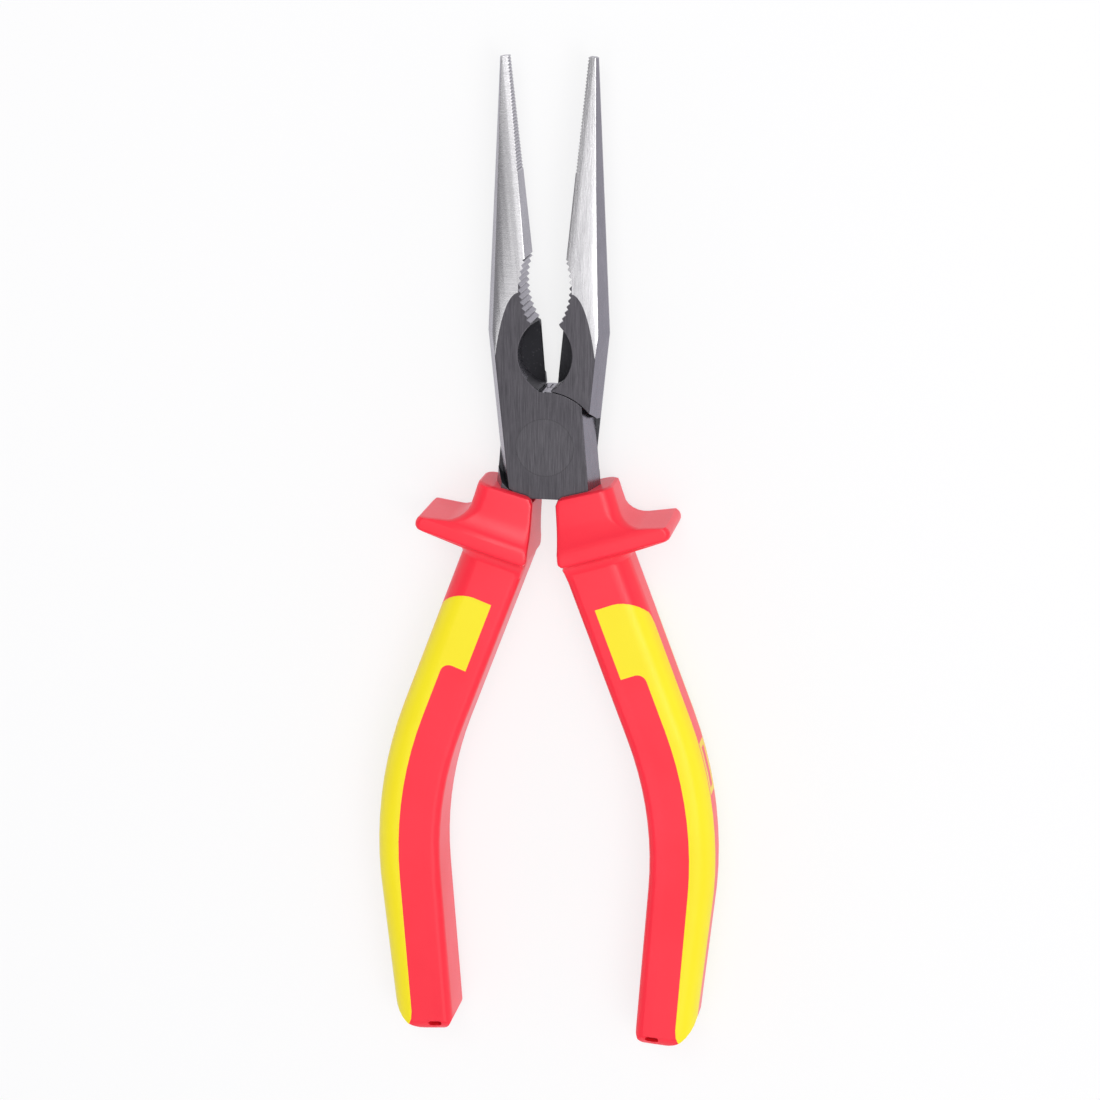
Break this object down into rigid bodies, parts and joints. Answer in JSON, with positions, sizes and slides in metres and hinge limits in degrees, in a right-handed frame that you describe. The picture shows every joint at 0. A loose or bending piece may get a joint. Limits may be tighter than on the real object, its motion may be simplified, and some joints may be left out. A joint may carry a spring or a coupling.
{
  "type": "needle nose pliers",
  "caption": "Long nose pliers with a side cutter, a toothed round grip, a flush lap-joint rivet and insulated two-colour handles with finger guards.",
  "frame": {"origin": "on the pivot axis, in the flat back face of the joint", "axes": "+Y along the jaws to their tips, +Z out of the front face along the pivot axis, +X to the right as seen from the front; the jaws stand open by 12 degrees"},
  "size_m": [0.0696, 0.2004, 0.0173],
  "materials": {
    "forged_steel": "ground and satin polished, bare",
    "rivet_steel": "ground flush with the joint",
    "hard_core": "moulded, inside the jacket",
    "jacket_red": "moulded, satin",
    "inlay_yellow": "moulded, satin",
    "pad_red": "soft moulded, satin"
  },
  "bodies": {
    "back_body": {"back_half": "forged_steel", "left_core": "hard_core", "left_jacket": "jacket_red", "left_front_inlay": "inlay_yellow", "left_back_inlay": "inlay_yellow", "left_front_pad": "pad_red", "left_back_pad": "pad_red", "left_side_badge": "inlay_yellow"},
    "front_body": {"front_half": "forged_steel", "pivot_rivet": "rivet_steel", "right_core": "hard_core", "right_jacket": "jacket_red", "right_front_inlay": "inlay_yellow", "right_back_inlay": "inlay_yellow", "right_front_pad": "pad_red", "right_back_pad": "pad_red", "right_side_badge": "inlay_yellow"}
  },
  "joints": [
    {"name": "pivot", "type": "hinge", "parent": "back_body", "child": "front_body", "pos_m": [0, 0, 0], "axis": [0, 0, 1], "range_deg": [-11.6, 40]}
  ]
}
